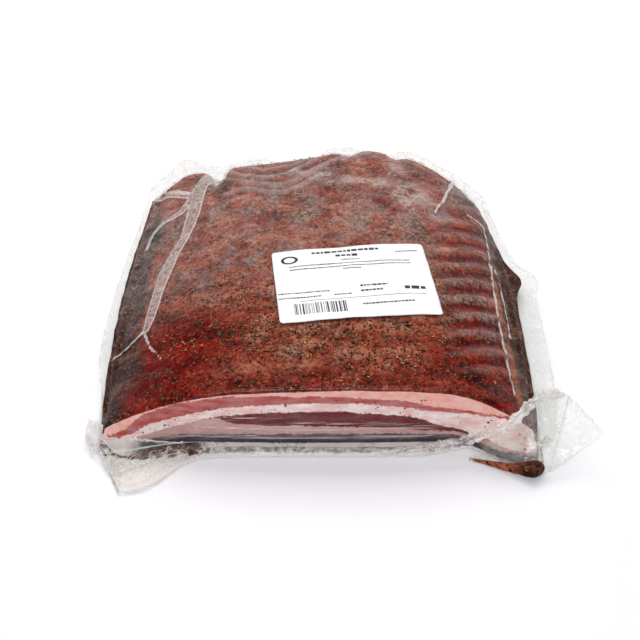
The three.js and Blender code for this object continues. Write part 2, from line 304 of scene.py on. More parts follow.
def add_node(tree, kind, *inputs, output=0, **settings):
    """Adds a shader node and gives its output of that number or name.

    The inputs are values or other nodes' outputs, in the order of the node's sockets, or one dictionary
    of them by name or number. stops and curve place the points of a colour ramp and of a curve.
    """
    made = tree.nodes.new("ShaderNode" + kind)
    for index, (place, shade) in enumerate(settings.pop("stops", ())):
        stops = made.color_ramp.elements
        stop = stops[index] if index < 2 else stops.new(place)
        stop.position = place
        stop.color = shade
    curve = settings.pop("curve", ())
    for index, (place, height) in enumerate(curve):
        points = made.mapping.curves[0].points
        point = points[index] if index < 2 else points.new(place, height)
        point.location = (place, height)
    if curve:
        made.mapping.update()
    for name, value in settings.items():
        setattr(made, name, value)
    by_key = inputs[0] if inputs and isinstance(inputs[0], dict) else dict(enumerate(inputs))
    for key, value in by_key.items():
        if isinstance(value, bpy.types.NodeSocket):
            tree.links.new(value, made.inputs[key])
        else:
            made.inputs[key].default_value = value
    return made.outputs[output] if len(made.outputs) else None


# Settings that many nodes share: a soft step from 0 at one value to 1 at another, and a mix of colours.
SOFT_STEP = {"interpolation_type": "SMOOTHSTEP"}
COLOUR_MIX = {"data_type": "RGBA", "output": 2}


def new_material(name):
    """A material, the function that adds its nodes, and the place in the layout in millimetres."""
    material = bpy.data.materials.new(name)
    material.use_nodes = True
    material.node_tree.nodes.clear()
    node = partial(add_node, material.node_tree)
    place = node("Mapping", {
        "Vector": node("TexCoord", output="Object"),
        "Location": tuple(-1000 * LAYOUT_ORIGIN),
        "Scale": (1000, 1000, 1000),
    })
    return material, node, place


def pattern(node, place, size, detail=3, roughness=0.55, stretch=(1, 1, 1)):
    """Noise with features of about that many millimetres, stretched along the axes."""
    return node("TexNoise", {
        "Vector": node("Mapping", {"Vector": place, "Scale": stretch}),
        "Scale": 1 / size,
        "Detail": detail,
        "Roughness": roughness,
    }, output="Fac")


# The cut front face, from the base up. Each layer has its shade, how far its streaks go towards white, and
# the heights of its upper edge in millimetres at these places across the slab, from its left to its right.
LAYER_X = (-112, -97, -87, -66, -52, -41, -10, 0, 40, 66, 92, 112)
CUT_LAYERS = (
    ("dark rind", "#453c40", 0.0, (2.0, 3.0, 3.0, 3, 3, 3, 3, 3, 3, 3, 3, 2.5)),
    ("grey lean", "#59424a", 0.14, (2.6, 4.0, 4.5, 6, 6.3, 6.5, 7, 7, 6.8, 6, 5, 4.5)),
    ("pale fat", "#c8958c", 0.14, (3.0, 5.0, 7, 13, 17.5, 13.5, 12.5, 12.3, 10.5, 8, 7, 5.5)),
    ("dark lean", "#6c1217", 0.04, (3.1, 5.1, 7.1, 13.1, 17.6, 19.8, 22, 22.3, 19.8, 11.5, 7.1, 5.6)),
    ("middle fat", "#f0beb4", 0.6, (3.4, 6.5, 11.5, 18.5, 22.5, 25, 27.5, 28.2, 25.7, 21, 20.5, 7)),
    ("pink lean", "#b0443c", 0.14, (3.8, 10, 18, 27, 30, 32, 32.5, 32.6, 29.8, 23.5, 21.6, 7.2)),
    ("top fat", "#efa08c", 0.28, (50,) * 12),
)
LAYER_RANGE = 40

# Shares of the crust that are deep red, dark brown and orange, and the shades of the crust in each,
# from its darkest specks to its lightest. The first row is the rest of the crust. The deep red also
# paints shade in the valleys of the ribs and wrinkles, and the dark brown the shade of a small pit.
ZONES = ("red", "dark", "orange")
CRUST_SHADES = (
    ("#46190f", "#803424", "#9a5440", "#b87f68"),
    ("#1f0201", "#580803", "#7d1308", "#902c18"),
    ("#140705", "#331710", "#4f2c1f", "#7b5c47"),
    ("#5a2412", "#8a4426", "#a35c36", "#bd8056"),
)
SPECKLE_STEPS = (0.39, 0.47, 0.54, 0.63)

# Size of the grains in millimetres, how much of the crust they cover, and their shade.
CRUST_DUST = (
    (1.5, 0.22, "#260d08"), (1.4, 0.16, "#4f3a1e"), (1.2, 0.12, "#a3603a"), (2.4, 0.05, "#1c100c"),
)


def crust_zones(x, y):
    """How far the crust is deep red, dark brown and orange at a place; red and brown also paint shade."""
    drift = 14 * noise_at(x / 26, y / 26, 3)
    left = ease((-22 - x + drift) / 40) * ease((84 - y + drift) / 36)
    right = ease((x - 44 + drift) / 22) * ease((54 - y + drift) / 26)
    ribbed = ease((x - 58) / 22) * ease((165 - y) / 20)
    # Painted shade: the deep red in the valleys between the ribs.
    valley_shade = ribbed * ease((0.35 - rib_wave(x, y) + drift / 30) / 0.9)
    crest, wrinkled = wrinkle_crest(x, y)
    front = 0.75 * ease((20 - y + 0.6 * drift) / 16)
    # The red mixes real deep red crust with painted shade in the rib valleys and between the wrinkle crests.
    red = max(left, 0.85 * right, front, valley_shade, 0.8 * wrinkled * (1 - crest), 0.4 * ease(drift / 8))
    # Painted shade of a small pit, drawn in dark brown.
    pit_shade = 1.2 * bump(x + 60, 5) * bump(y - 184, 14)
    left_side = ease((-92 - x + 0.6 * drift) / 10) * ease((190 - y + drift) / 24)
    far_right = 0.8 * bump(x - 98, 8) * bump(y - 186, 20)
    dark = max(ease((x - 103) / 4), left_side, clamp01(pit_shade), far_right)
    orange = ease((x - 101.5) / 1.5) * ease((107 - x) / 1.5) * ease((y + 2) / 6) * ease((120 - y) / 8)
    return red, dark, orange


def meat_material():
    """Smoked pork belly: a peppered, sticky dark crust over a moist cut face of fat and lean."""
    material, node, place = new_material("smoked pork belly")
    across, back, up = node("SeparateXYZ", place).node.outputs
    cut = node("Attribute", attribute_name="cut", output="Fac")
    zone = {name: node("Attribute", attribute_name=name, output="Fac") for name in ZONES}
    patches = pattern(node, place, 13, 5, 0.6, (0.8, 1.25, 1))
    clumps = pattern(node, place, 8, 4, 0.65, (0.7, 1.3, 1))
    grain = pattern(node, place, 2.4, 4, 0.75)
    fibres = pattern(node, place, 5, 4, 0.6, (0.35, 1.6, 1.6))

    half_grain = node("Math", grain, 0.5, operation="MULTIPLY")
    speckle = node("Math", patches, 0.5, half_grain, operation="MULTIPLY_ADD")
    shades = [
        node("ValToRGB", speckle, stops=[(step, colour(shade)) for step, shade in zip(SPECKLE_STEPS, row)])
        for row in CRUST_SHADES
    ]
    # Dry, dusty ground spice over parts of the crust.
    dust = node("MapRange", grain, 0.4, 0.62, **SOFT_STEP)
    ground = node("Mix", {0: dust, 6: colour("#4a2c22"), 7: colour("#a07a69")}, **COLOUR_MIX)
    covered = node("MapRange", pattern(node, place, 20, 3, 0.6), 0.48, 0.66, **SOFT_STEP)
    crust = node("Mix", {0: covered, 6: shades[0], 7: ground}, **COLOUR_MIX)
    for name, shade in zip(ZONES, shades[1:]):
        crust = node("Mix", {0: zone[name], 6: crust, 7: shade}, **COLOUR_MIX)

    # Grains of pepper, herbs and crumbs, rubbed into the crust and drawn a little coarser than they are.
    # There are fewer to the back and where the crust is red.
    clump = node("MapRange", clumps, 0.38, 0.62, **SOFT_STEP)
    gathered = node("Math", clump, 0.18, operation="MULTIPLY")
    fewer_back = node("Math", node("MapRange", back, 70, 150, **SOFT_STEP), 0.4, operation="MULTIPLY")
    fewer_red = node("Math", zone["red"], 0.25, operation="MULTIPLY")
    fewer = node("Math", fewer_back, fewer_red, operation="MAXIMUM")
    kept = node("Math", 1, fewer, operation="SUBTRACT")
    for size, amount, shade in CRUST_DUST:
        cells = node("TexVoronoi", {"Vector": place, "Scale": 1 / size}).node.outputs
        inside = node("MapRange", cells["Distance"], 0.56, 0.4, **SOFT_STEP)
        chance = node("Math", node("SeparateColor", cells["Color"]), gathered, operation="ADD")
        chosen = node("MapRange", chance, 1.09 - amount, 1.11 - amount, **SOFT_STEP)
        here = node("Math", inside, chosen, operation="MULTIPLY")
        here = node("Math", here, kept, operation="MULTIPLY")
        crust = node("Mix", {0: here, 6: crust, 7: colour(shade)}, **COLOUR_MIX)

    # The layers of the cut face, whose edges wander with the fibres and are ragged with the grain.
    wander = node("Math", fibres, 3.2, -1.6, operation="MULTIPLY_ADD")
    ragged = node("Math", grain, 4, -2, operation="MULTIPLY_ADD")
    height = node("Math", up, node("Math", wander, ragged, operation="ADD"), operation="ADD")
    streaks = node("MapRange", fibres, 0.36, 0.66, **SOFT_STEP)
    marbling = node("MapRange", pattern(node, place, 3.5, 4, 0.65, (0.5, 1, 1)), 0.32, 0.66, **SOFT_STEP)
    share_across = node("MapRange", across, LAYER_X[0], LAYER_X[-1])
    face = colour(CUT_LAYERS[0][1])
    for (_, _, _, edges), (name, shade, whiter, _) in zip(CUT_LAYERS, CUT_LAYERS[1:]):
        ends = LAYER_X[-1] - LAYER_X[0]
        points = [((x - LAYER_X[0]) / ends, edge / LAYER_RANGE) for x, edge in zip(LAYER_X, edges)]
        points = [points[0], points[-1], *points[1:-1]]
        level = node("FloatCurve", {"Value": share_across}, curve=points)
        edge_below = node("Math", level, LAYER_RANGE, operation="MULTIPLY")
        above = node("Math", height, edge_below, operation="SUBTRACT")
        above = node("MapRange", above, -0.35, 0.35, **SOFT_STEP)
        pale = tuple(lerp(part, 1, whiter) for part in colour(shade))
        veins = streaks if "lean" in name else marbling
        layer = node("Mix", {0: veins, 6: colour(shade), 7: pale}, **COLOUR_MIX)
        face = node("Mix", {0: above, 6: face, 7: layer}, **COLOUR_MIX)
    frayed = node("Math", grain, 2, -1, operation="MULTIPLY_ADD")
    on_face = node("MapRange", node("Math", cut, frayed, operation="ADD"), -0.3, 0.4, **SOFT_STEP)

    lumps = node("Math", patches, 0.6, half_grain, operation="MULTIPLY_ADD")
    node("OutputMaterial", node("BsdfPrincipled", {
        "Base Color": node("Mix", {0: on_face, 6: crust, 7: face}, **COLOUR_MIX),
        "Roughness": 0.5,
        "IOR": 1.4,
        "Specular IOR Level": 0.06,
        "Subsurface Weight": 0.12,
        "Subsurface Radius": (1.0, 0.35, 0.2),
        "Subsurface Scale": 0.003,
        "Normal": node("Bump", {"Strength": 0.55, "Distance": 0.0008, "Height": lumps}),
    }))
    return material


def film_material():
    """Clear polyamide and polyethylene film: glossy, crinkled, and milky where it is folded."""
    material, node, place = new_material("clear vacuum film")
    # The veil number holds milky veils of film and painted highlights.
    fold, milk, grey, glare, veil_and_sheen = (
        node("Attribute", attribute_name=name, output="Fac")
        for name in ("pleat", "milk", "grey", "glare", "veil_and_sheen")
    )
    fine = pattern(node, place, 2.2, 3, 0.6)

    # A fold is milky inside, with a painted highlight: a brighter line along its edges.
    wobble = node("Math", fold, node("Math", fine, 0.9, -0.45, operation="MULTIPLY_ADD"), operation="ADD")
    inside = node("MapRange", wobble, -0.2, 0.4, **SOFT_STEP)
    inside = node("Math", inside, node("MapRange", fine, 0.26, 1), operation="MULTIPLY")
    painted_edge_highlight = node("MapRange", node("Math", wobble, operation="ABSOLUTE"), 0.5, 0.1, **SOFT_STEP)
    painted_edge_highlight = node("Math", painted_edge_highlight, 0.66, operation="MULTIPLY")

    # Clouds of haze, and hairline creases about 17 and 9 mm apart.
    cloud = node("MapRange", pattern(node, place, 12, 4, 0.65), 0.38, 0.66, **SOFT_STEP)
    cloud = node("Math", cloud, 1.3, 0.35, operation="MULTIPLY_ADD")
    clouded = node("Math", milk, cloud, operation="MULTIPLY")
    hairlines = 0
    for size in (17, 9):
        off_line = node("Math", pattern(node, place, size, 2), 0.5, operation="SUBTRACT")
        line = node("MapRange", node("Math", off_line, operation="ABSOLUTE"), 0.02, 0, **SOFT_STEP)
        hairlines = node("Math", hairlines, line, operation="ADD")
    strength = node("Math", milk, 0.9, 0.02, operation="MULTIPLY_ADD")
    creased = node("Math", hairlines, strength, operation="MULTIPLY")

    # Painted glints: long thin white lines on the cut face, where the film is stretched from side to side.
    painted_glint = node("MapRange", pattern(node, place, 0.8, 3, 0.5, (0.02, 0.2, 1)), 0.61, 0.67, **SOFT_STEP)
    # The haze is milky film together with painted highlights and a painted reflection, all drawn in one
    # white.
    haze = node("Math", glare, painted_glint, operation="MULTIPLY")
    for part in (clouded, creased, inside, painted_edge_highlight, veil_and_sheen):
        haze = node("Math", haze, part, operation="ADD")
    haze = node("Math", haze, 0.9, operation="MINIMUM")

    # Stacked layers of film dim what shows through; in the hollow of the front seam the grey is a painted
    # reflection.
    greyed = node("Math", grey, node("MapRange", fine, 0.35, 0.65, **SOFT_STEP), operation="MULTIPLY")
    tint = node("Mix", {0: greyed, 6: colour("#fcfdfc"), 7: colour("#8f8a8c")}, **COLOUR_MIX)
    milky_white = colour("#fbf6f2")
    milky = node("MixShader", 0.4, node("BsdfDiffuse", milky_white), node("BsdfTranslucent", milky_white))
    body = node("MixShader", haze, node("BsdfTransparent", tint), milky)

    crinkle = node("Math", fine, 0.35, pattern(node, place, 6, 5, 0.62), operation="MULTIPLY_ADD")
    relief = node("Bump", {"Strength": 0.22, "Distance": 0.001, "Height": crinkle})
    gloss = node("BsdfAnisotropic", {"Color": colour("#ffffff"), "Roughness": 0.1, "Normal": relief})
    facing = node("LayerWeight", {"Blend": 0.5, "Normal": relief}, output="Facing")
    mirror = node("Math", node("Math", facing, 5, operation="POWER"), 0.3, 0.015, operation="MULTIPLY_ADD")
    node("OutputMaterial", node("MixShader", mirror, body, gloss))
    return material


def paper_material():
    """Coated label paper: bright white and smooth, with a faint tooth."""
    material, node, place = new_material("coated label paper")
    mottle = node("MapRange", pattern(node, place, 18, 2), 0.3, 0.7, **SOFT_STEP)
    tooth = pattern(node, place, 0.7, 2)
    node("OutputMaterial", node("BsdfPrincipled", {
        "Base Color": node("Mix", {0: mottle, 6: colour("#fdfdfd"), 7: colour("#f7f7f6")}, **COLOUR_MIX),
        "Roughness": 0.45,
        "Normal": node("Bump", {"Strength": 0.12, "Distance": 0.0002, "Height": tooth}),
    }))
    return material


def ink_material():
    """Thermal print: a soft black that is not quite even."""
    material, node, place = new_material("thermal print")
    wear = node("MapRange", pattern(node, place, 0.8, 2), 0.4, 0.75, **SOFT_STEP)
    node("OutputMaterial", node("BsdfPrincipled", {
        "Base Color": node("Mix", {0: wear, 6: colour("#1d1d1f"), 7: colour("#6a6a6e")}, **COLOUR_MIX),
        "Roughness": 0.55,
    }))
    return material


def spice_material(name, dark, light, size):
    """Dried spice: matt, broken surfaces whose colour changes from piece to piece."""
    material, node, place = new_material(name)
    mottle = node("MapRange", pattern(node, place, size, 2, 0.6), 0.35, 0.65, **SOFT_STEP)
    node("OutputMaterial", node("BsdfPrincipled", {
        "Base Color": node("Mix", {0: mottle, 6: colour(dark), 7: colour(light)}, **COLOUR_MIX),
        "Roughness": 0.7,
    }))
    return material


SLAB_CELLS = 190
SLAB_ROWS = 34
# About half the width of the slab, in millimetres.
SLAB_SPAN = 112


def slab_top(x, y):
    place = Vector((x, y, 0))
    return body_height(x, y) + 0.22 * noise.noise(place / 4.2) + 0.1 * noise.noise(place / 1.9)


def edge_rounding(u, v, radius):
    """How far the top has fallen where it rolls over into the sides."""
    inward = (1 - max(abs(u), abs(v))) * SLAB_SPAN
    if inward >= radius:
        return 0
    return radius - math.sqrt(radius * radius - (radius - inward) ** 2)


def build_slab(material):
    shape = pillow(SLAB_CELLS, SLAB_ROWS)
    cut, *zones = add_layers(shape, "cut", *ZONES)
    shrink = 1 - FILM_CLEARANCE / SLAB_SPAN
    for vert in shape.verts:
        u, v, row = vert.co.x, vert.co.y, round(-vert.co.z)
        radius = 1.6 if v < -0.9 else 3
        if row == 0:
            x, y = outline(u, v, 0)
            z = slab_top(x, y) - edge_rounding(u, v, radius)
            vert[cut] = front_edge(x, 0) - y
        else:
            edge_x, edge_y = outline(u, v, 0)
            edge = slab_top(edge_x, edge_y) - radius
            seam = min(seam_height(edge_x, edge_y), edge - 1)
            z = edge * (1 - row / SLAB_ROWS)
            low = clamp01((edge - z) / (edge - seam))
            x, y = outline(u, v, low)
            if z < seam and v > -1:
                pull = 1 - 0.03 * (seam - z) / seam
                x, y = x * pull, SLAB_MIDDLE_Y + (y - SLAB_MIDDLE_Y) * pull
            rough = 0.5 * noise_at(x / 9, y / 9, z / 5)
            if v < -0.999:
                vert[cut] = edge - z + 0.6
                y += 0.5 * rough
            else:
                vert[cut] = front_edge(x, 0) - y - 0.6
                x += rough * (1 if u > 0 else -1)
            z += 0.25
        for layer, share in zip(zones, crust_zones(x, y)):
            vert[layer] = share
        vert.co = (x * shrink, SLAB_MIDDLE_Y + (y - SLAB_MIDDLE_Y) * shrink, z)
    return add_piece("bacon_slab", shape, material, "vacuum_bag")


FILM_CELLS = 164
WALL_ROWS = 44
MARGIN_ROWS = 14
FILM_THICKNESS = 0.12
# The pleat number is above 0 inside a fold and falls below it outside.
NO_FOLD = -2
# Ridges of film on the cut face: height, fall to the right, how far it stands out, half the width,
# from x, to x.
FRONT_RIDGES = (
    (19.2, 0.0, 0.4, 0.5, -52, -8),
    (15.3, 0.0, 0.6, 0.6, -20, 44),
    (11.6, 0.002, 0.8, 0.7, -66, 66),
    (5.5, -0.003, 1.0, 0.8, -84, 66),
)


def film_top(x, y):
    """Height of the film over the meat's top, with its pleats and wrinkles, and how much it is folded."""
    pleat = max(path_reach(x, y, path) for path in PLEATS)
    crease = max(path_reach(x, y, path) for path in CREASES)
    crest, _ = wrinkle_crest(x, y)
    lift = 1.3 * ease(pleat / 2 + 0.3) + 0.9 * ease(crease / 1.2 + 0.9) + 1.3 * crest
    lift += 0.25 * noise_at(x / 6, y / 6, 9)
    fold = max(pleat, crease + 0.45 * noise_at(x / 5, y / 5, 6) - 0.1)
    return body_height(x, y) + FILM_CLEARANCE + lift, fold


def top_sheen_and_veil(x, y):
    """Painted highlight on the crests of the wrinkles and ribs, and a milky knot of film in the notch."""
    ribbed = ease((x - 62) / 14) * ease((y - 8) / 20) * ease((158 - y) / 20) * ease((106 - x) / 5)
    rib_line = ribbed * ease((rib_wave(x, y) - 0.15) / 0.8)
    rib_line *= ease(noise_at(x / 11, y / 7, 2) + 0.7)
    knot = bump(math.hypot(x + 66, y - 208), 6)
    return 0.22 * wrinkle_crest(x, y)[0] + 0.13 * rib_line + 0.5 * knot


def top_milk_and_reflection(x, y):
    """Milkiness of the film over the top: a painted reflection as a veil to the back, and milky streaks."""
    veil_and_sheen = 0.11 * ease((y - 45) / 80) * (1 - 0.8 * ease((y - 185) / 25))
    veil_and_sheen *= 1 - 0.8 * ease((x - 58) / 24) * ease((170 - y) / 20)
    streak = 0.12 * max(ease(path_reach(x, y, path) / 6 + 1) for path in HAZES)
    return veil_and_sheen + streak


def film_rim(u, v):
    """The outer edge of the sealed margin."""
    x, y = outline(u, v, 1)
    sideways = LEFT_MARGIN - 5 * ease(y / 190) if u < 0 else RIGHT_MARGIN - 7 * ease((y - 105) / 25)
    lengthways = FRONT_MARGIN if v < 0 else BACK_MARGIN
    tucked = 1 - 0.85 * ease((x - 50) / 30) * ease((4 - y) / 10)
    rounded = tucked if v < 0 else 1 - 0.45 * (u * v) ** 8
    point = Vector((x + sideways * rounded * u ** 7, y + lengthways * rounded * v ** 7, 0))
    point.z = seam_height(point.x, point.y) + 4 * math.sin(point.x / 9) * ease((y - 205) / 30)
    pull = bump(math.hypot(u + 1, v + 1) / 2, TIP_SPREAD)
    point += (FRONT_LEFT_TIP - Vector((SLAB_LEFT - LEFT_MARGIN, -FRONT_MARGIN, 0))) * pull
    point.z = max(point.z * (1 - pull), MARGIN_THICKNESS)
    return point


def film_margin(u, v, share):
    """A point of the margin, from the seam (0) to its outer edge (1), its milkiness and its greyness."""
    x, y = outline(u, v, 1)
    seam = Vector((x, y, seam_height(x, y)))
    point = seam.lerp(film_rim(u, v), share)
    run = y if abs(u) > abs(v) else x
    side = 3 * (abs(u) > abs(v)) + (u > 0) + 0.5 * (v > 0)
    wave = noise_at(run / 9, side * 7, share * 0.8)
    ripple = noise_at(run / 3.2, side * 11, share * 1.5)
    free = ease(share * 1.6)
    height = 1.6 if y > 0 else 0.9
    point.z = max(point.z + free * height * (wave + 0.45 * ripple), 0.5)
    edge = ease(share * 9 - 7.5)
    if v < -0.999 or y < 2:
        sealed = ease((point.x + 66) / 24)
        hollow = ease((share - 0.32) / 0.14) * ease((0.88 - share) / 0.1)
        point.z += 1.4 * hollow * sealed
        curl = 0.7 * bump(noise_at(point.x / 6, point.y / 4, 2), 0.08) * ease(share * 3 - 0.5)
        flap = 0.25 * ease((-13 - point.y) / 4)
        # In the hollow the film is greyed: a painted reflection of the dark meat.
        return point, lerp(max(0.95 * edge, curl, flap), 1.1 - 0.95 * hollow, sealed), 0.9 * hollow * sealed
    crumple = bump(noise_at(point.x / 9, point.y / 9, 5), 0.05)
    crumple *= (0.15 + 0.2 * ease((y - 150) / 30) * (1 + ease((x - 40) / 30))) * ease(share * 3)
    return point, 0.03 + 0.24 * edge + crumple, 0.06 + 0.5 * crumple


def build_film(material):
    rows = WALL_ROWS + 2 * MARGIN_ROWS + 1
    shape = pillow(FILM_CELLS, rows)
    pleat, milk, grey, glare, veil_and_sheen = add_layers(shape, "pleat", "milk", "grey", "glare", "veil_and_sheen")
    for vert in shape.verts:
        u, v, row = vert.co.x, vert.co.y, round(-vert.co.z)
        radius = 2 if v < -0.9 else 3.6
        if row == 0:
            x, y = outline(u, v, 0)
            z, vert[pleat] = film_top(x, y)
            z -= edge_rounding(u, v, radius)
            vert[milk] = top_milk_and_reflection(x, y)
            vert[veil_and_sheen] = top_sheen_and_veil(x, y)
        elif row <= WALL_ROWS:
            edge_x, edge_y = outline(u, v, 0)
            edge, fold = film_top(edge_x, edge_y)
            edge -= radius
            seam = min(seam_height(edge_x, edge_y), edge - 0.6)
            low = row / WALL_ROWS
            x, y = outline(u, v, low)
            z = lerp(edge, seam, low)
            vert[pleat] = lerp(fold, NO_FOLD, clamp01(low * 3))
            vert[milk] = 0.02
            if v < -0.999:
                # Painted glints across the film over the cut face.
                here = ease((z - 2) / 3) * ease((21 - z) / 5) * ease((x + 92) / 30) * ease((80 - x) / 30)
                vert[glare] = 0.5 * here
                for height, slope, stand, half, start, stop in FRONT_RIDGES:
                    middle = height - slope * (x - start) + 0.5 * math.sin(x / 17 + height)
                    here = ease((x - start) / 14) * ease((stop - x) / 14)
                    y -= stand * here * bump(z - middle, half)
                    # A painted highlight along the crest of each ridge.
                    vert[veil_and_sheen] = max(vert[veil_and_sheen], 0.75 * here * bump(z - middle, half * 0.45))
            else:
                x += 0.5 * noise_at(x / 8, y / 8, z / 4) * (1 if u > 0 else -1)
        elif row <= WALL_ROWS + MARGIN_ROWS:
            share = (row - WALL_ROWS) / MARGIN_ROWS
            (x, y, z), vert[milk], vert[grey] = film_margin(u, v, share)
            vert[pleat] = NO_FOLD
            if v < -0.999:
                # A painted highlight along the rolled outer edge of the front seam.
                vert[veil_and_sheen] = 0.8 * ease(share * 9 - 7.5) * ease((x + 84) / 20)
        elif row < rows:
            share = 1 - (row - WALL_ROWS - MARGIN_ROWS - 1) / MARGIN_ROWS
            (x, y, z), vert[milk], _ = film_margin(u, v, share)
            z = max(z - 0.5, 0.05)
            vert[pleat] = NO_FOLD
        else:
            x, y = outline(u, v, 1)
            x, y, z = x * 0.97, SLAB_MIDDLE_Y + (y - SLAB_MIDDLE_Y) * (0.99 if v < 0 else 0.96), 0.05
            vert[pleat] = NO_FOLD
            vert[milk] = 0.1
        vert.co = (x, y, z)
    return add_piece("bag_film", shape, material)


def along(points, share):
    """A point on a smooth curve through the given points, from the first (0) to the last (1)."""
    place = clamp01(share) * (len(points) - 1)
    index = min(int(place), len(points) - 2)
    part = place - index
    before, start, end, after = (
        Vector(points[max(0, min(len(points) - 1, index + step))]) for step in (-1, 0, 1, 2)
    )
    bend = (2 * before - 5 * start + 4 * end - after) * part ** 2
    twist = (3 * start - before - 3 * end + after) * part ** 3
    return 0.5 * (2 * start + (end - before) * part + bend + twist)


def build_twist(material):
    """The film's front edge, twisted into a cord that climbs to the loose wing."""
    shape = bar(20, 190)
    milk, pleat = add_layers(shape, "milk", "pleat")
    for vert in shape.verts:
        vert[pleat] = NO_FOLD
        share = vert.co.z + 0.5
        angle = math.atan2(vert.co.y, vert.co.x)
        middle = along(TWIST_PATH, share)
        ahead = along(TWIST_PATH, share + 0.01) - along(TWIST_PATH, share - 0.01)
        turn = ahead.to_track_quat("Z", "Y").to_matrix()
        lobe = 0.75 + 0.3 * math.cos(2 * angle + 58 * share) + 0.18 * math.cos(3 * angle - 95 * share)
        lobe += 0.35 * noise_at(math.cos(angle), math.sin(angle), share * 60)
        radius = TWIST_RADIUS * lobe * lerp(0.35, 1.05, ease(share * 2.5))
        vert.co = middle + turn @ Vector((math.cos(angle), math.sin(angle), 0)) * radius
        # Milky strands of twisted film; their brightest lines are painted glints.
        strand = noise_at(2 * math.cos(angle), 2 * math.sin(angle), share * 14)
        vert[milk] = 0.3 + 1.3 * clamp01(2.2 * strand)
    return add_piece("film_twist", shape, material)


def front_of_pouch(x, z):
    """Where the film's front wall lies at that height."""
    edge = body_height(x, front_edge(x, 0))
    low = clamp01((edge - z) / (edge - MARGIN_THICKNESS))
    return front_edge(x, low) + 40 * ease((x - 100) / 18) if z < edge else 99


def film_sheet(name, top, foot, material, drape):
    """A loose sheet of film between two edges. drape gives its lift, milkiness and veil at a point."""
    shape = bmesh.new()
    bmesh.ops.create_grid(shape, x_segments=110, y_segments=60, size=0.5)
    milk, veil_and_sheen, pleat = add_layers(shape, "milk", "veil_and_sheen", "pleat")
    for vert in shape.verts:
        vert[pleat] = NO_FOLD
        across, down = vert.co.x + 0.5, 0.5 - vert.co.y
        upper, lower = along(top, across), along(foot, across)
        outward = (along(top, across + 0.02) - along(top, across - 0.02)).cross(upper - lower).normalized()
        between = upper.lerp(lower, down)
        crease = noise.noise(between / 7) + 0.5 * noise.noise(between / 2.6)
        lift, vert[milk], vert[veil_and_sheen] = drape(across, down)
        ragged = 1.2 * noise_at(across * 30, 3, 1) * (1 - ease(down * 5))
        vert.co = between + outward * (lift + 0.7 * crease) + Vector((0, 0, ragged))
        vert.co.z = max(vert.co.z, 0.4)
        vert.co.y = min(vert.co.y, front_of_pouch(vert.co.x, vert.co.z) - 1.5)
    bmesh.ops.solidify(shape, geom=shape.faces[:], thickness=FILM_THICKNESS)
    return add_piece(name, shape, material)


def wing_drape(across, down):
    """One fold down the middle, and a veil where the wing lies over the meat."""
    fold = bump(across - 0.52, 0.02)
    over_meat = ease((0.5 - across) / 0.1)
    edges = max(bump(down, 0.05), bump(1 - down, 0.05), bump(1 - across, 0.03), fold)
    lift = 1.6 * fold + 1.8 * math.sin(math.pi * down) * ease(across * 3)
    return lift, 0.04 + 0.35 * edges, 0.05 * over_meat


def corner_drape(across, down):
    """Curled in its lower half, and milky at the top where the film lies double."""
    edges = max(bump(down, 0.06), 1.2 * bump(1 - down, 0.12), bump(across, 0.04))
    curls = ease((down - 0.5) / 0.2) * bump(noise_at(across * 16, down * 6, 2), 0.09)
    folded = 0.42 * ease((0.4 - down + 0.25 * across) / 0.05) * ease((0.8 - across) / 0.2)
    return 1.1 * math.sin(math.pi * down) + 0.8 * curls, 0.02 + 0.6 * edges + 0.7 * curls, folded


# The cut number is above 0 on the cut face and falls below it on the crust.
NOT_CUT = -5
RIND_TIP = ((77, -13, 0.8), (86, -16, 1.2), (94.5, -19, 1.8), (103, -21.5, 3.4), (112.5, -22, 3.8))


def build_rind_tip(material):
    """The end of the rind, which shows below the film at the front right."""
    shape = bar(24, 60)
    dark, orange, cut = add_layers(shape, "dark", "orange", "cut")
    for vert in shape.verts:
        share = vert.co.z + 0.5
        angle = math.atan2(vert.co.y, vert.co.x)
        middle = along(RIND_TIP, share)
        closing = math.sqrt(max(1 - (max(share - 0.84, 0) / 0.16) ** 2, 0.003))
        wide = (0.6 + 2.2 * ease(share * 1.3) + 2 * bump(share - 0.86, 0.1)) * closing
        rough = 1 + 0.3 * noise.noise(middle / 2.5 + Vector((math.cos(angle), math.sin(angle), 0)))
        tall = middle.z * rough * closing
        around = Vector((0.35 * wide * math.cos(angle), wide * math.cos(angle), tall * math.sin(angle)))
        vert.co = middle + around
        vert.co.z = max(vert.co.z, 0.1)
        vert[dark] = ease(share * 3 - 1.4)
        vert[orange] = 0.8 * ease(2 - share * 4)
        vert[cut] = NOT_CUT
    return add_piece("rind_tip", shape, material)


def build_rind_edge(material):
    """The rind's front edge, which lies flat below the clear corner of the pouch."""
    shape = bmesh.new()
    bmesh.ops.create_grid(shape, x_segments=120, y_segments=20, size=0.5)
    dark, cut = add_layers(shape, "dark", "cut")
    for vert in shape.verts:
        across, forward = vert.co.x + 0.5, 0.5 - vert.co.y
        x = lerp(-107, -54, across)
        end = -8.5 - 4 * ease(across * 5) * ease((1 - across) * 3) + 2 * noise_at(x / 5, 0, 6)
        y = lerp(front_edge(x, 1) + 1, min(end, front_edge(x, 1)), forward)
        vert[dark] = 0.75 + 0.5 * noise_at(x / 7, y / 4, 8)
        vert[cut] = NOT_CUT
        vert.co = (x, y, 0.5 + 0.3 * noise_at(x / 4, y / 3, 0))
    bmesh.ops.solidify(shape, geom=shape.faces[:], thickness=0.3)
    return add_piece("rind_edge", shape, material)


